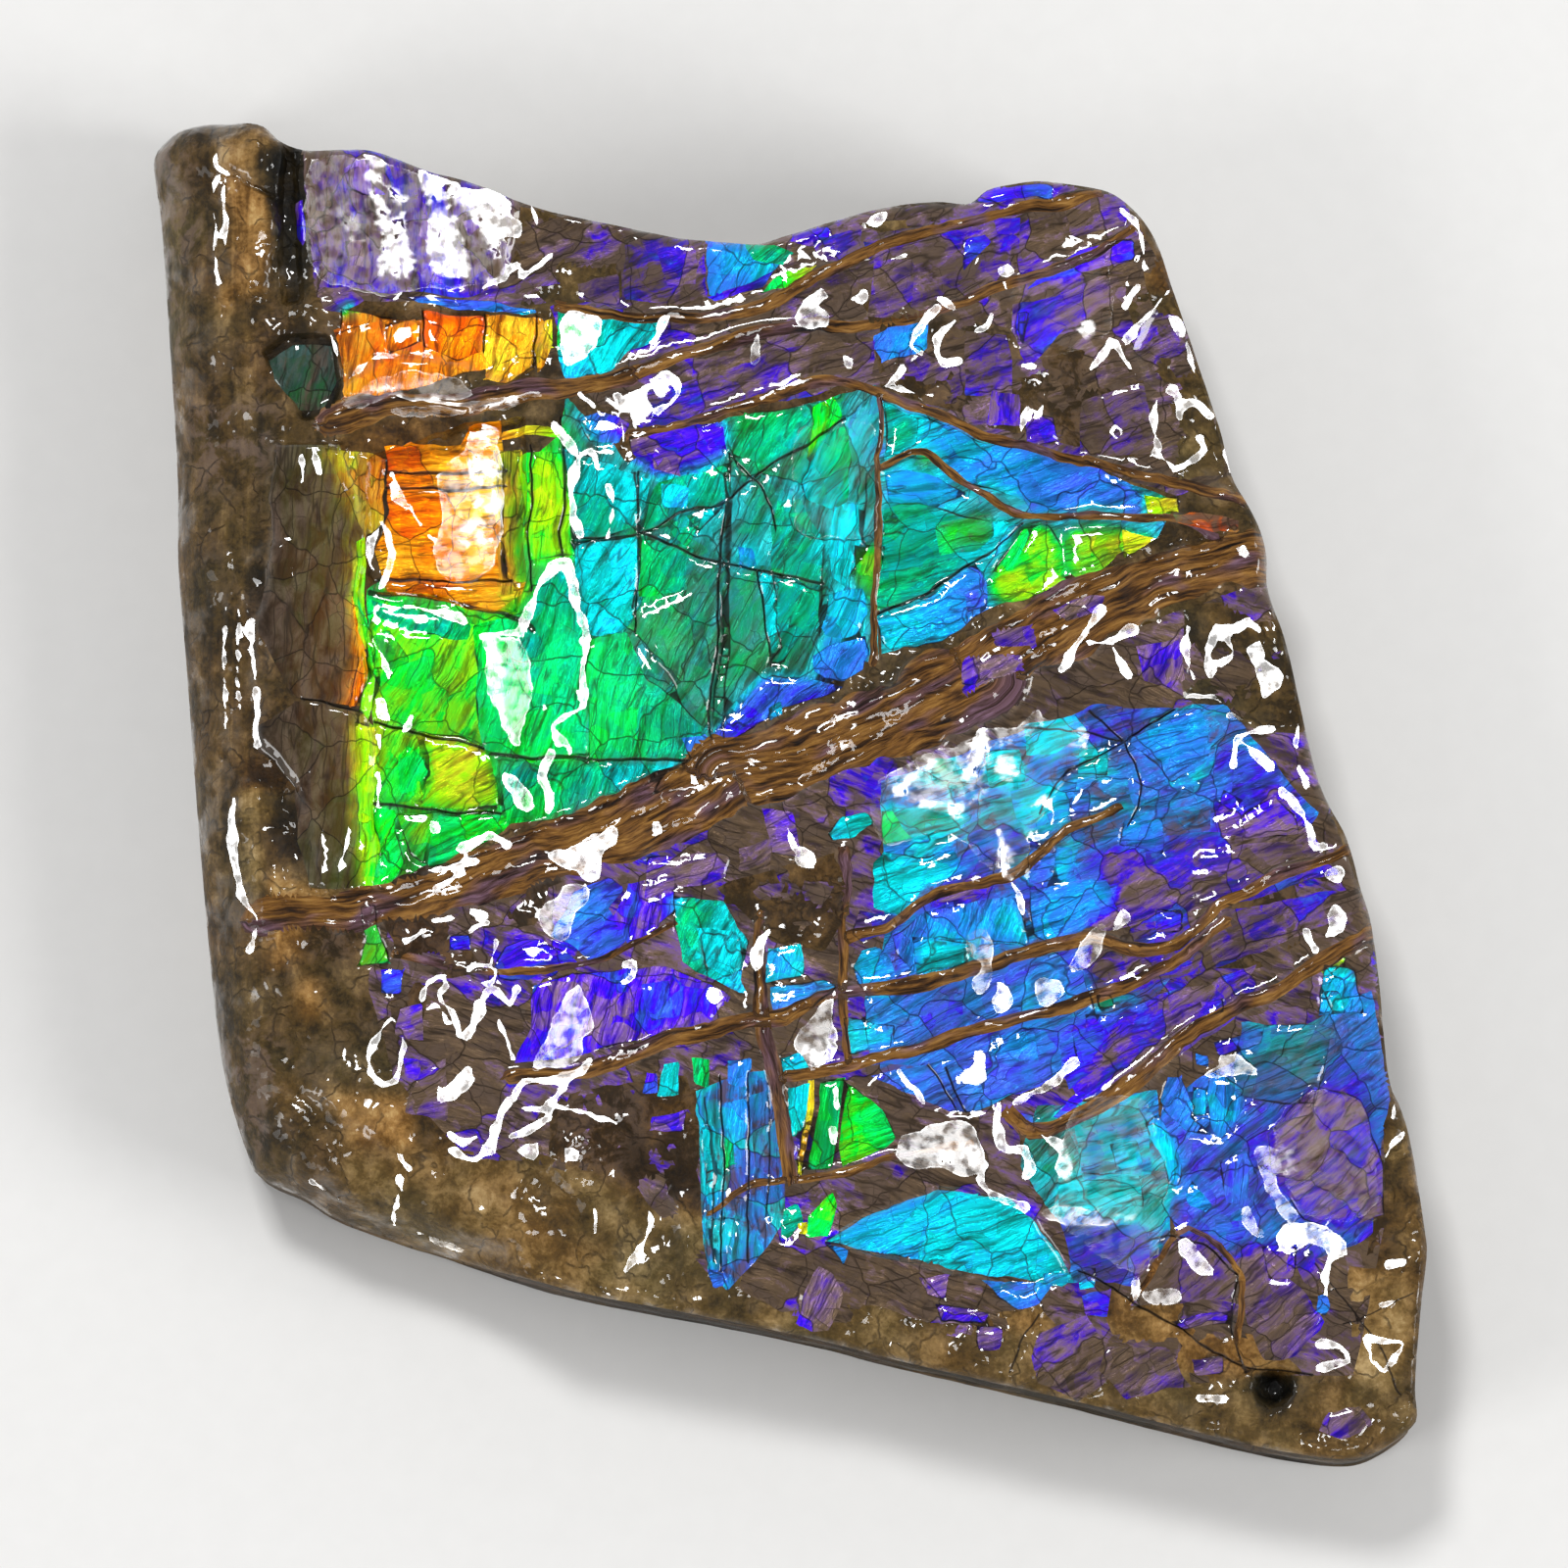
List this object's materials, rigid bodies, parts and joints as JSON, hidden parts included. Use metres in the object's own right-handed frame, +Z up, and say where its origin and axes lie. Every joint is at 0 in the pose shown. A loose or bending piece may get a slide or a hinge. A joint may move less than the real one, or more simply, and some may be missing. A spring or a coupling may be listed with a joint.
{
  "type": "ammolite specimen",
  "caption": "Flat hand-sized piece of fossil ammonite shell on dark ironstone, with a crazed iridescent face, raised brown seams, a rounded keel roll along one edge and a flat back to rest on.",
  "frame": {"origin": "under the middle of the specimen's outline, on the flat back it lies on", "axes": "+Z is up, out of the shell face. +X runs across the face, away from the keel roll. +Y runs up the face, towards its concave edge"},
  "size_m": [0.0466, 0.0492, 0.0083],
  "materials": {
    "fossil_shell": "polished fossil nacre under a clear coat, its flash running from red-orange through green and teal to blue and violet, on rough dark brown ironstone and shale"
  },
  "bodies": {
    "root": {"ammolite": "fossil_shell"}
  },
  "joints": []
}
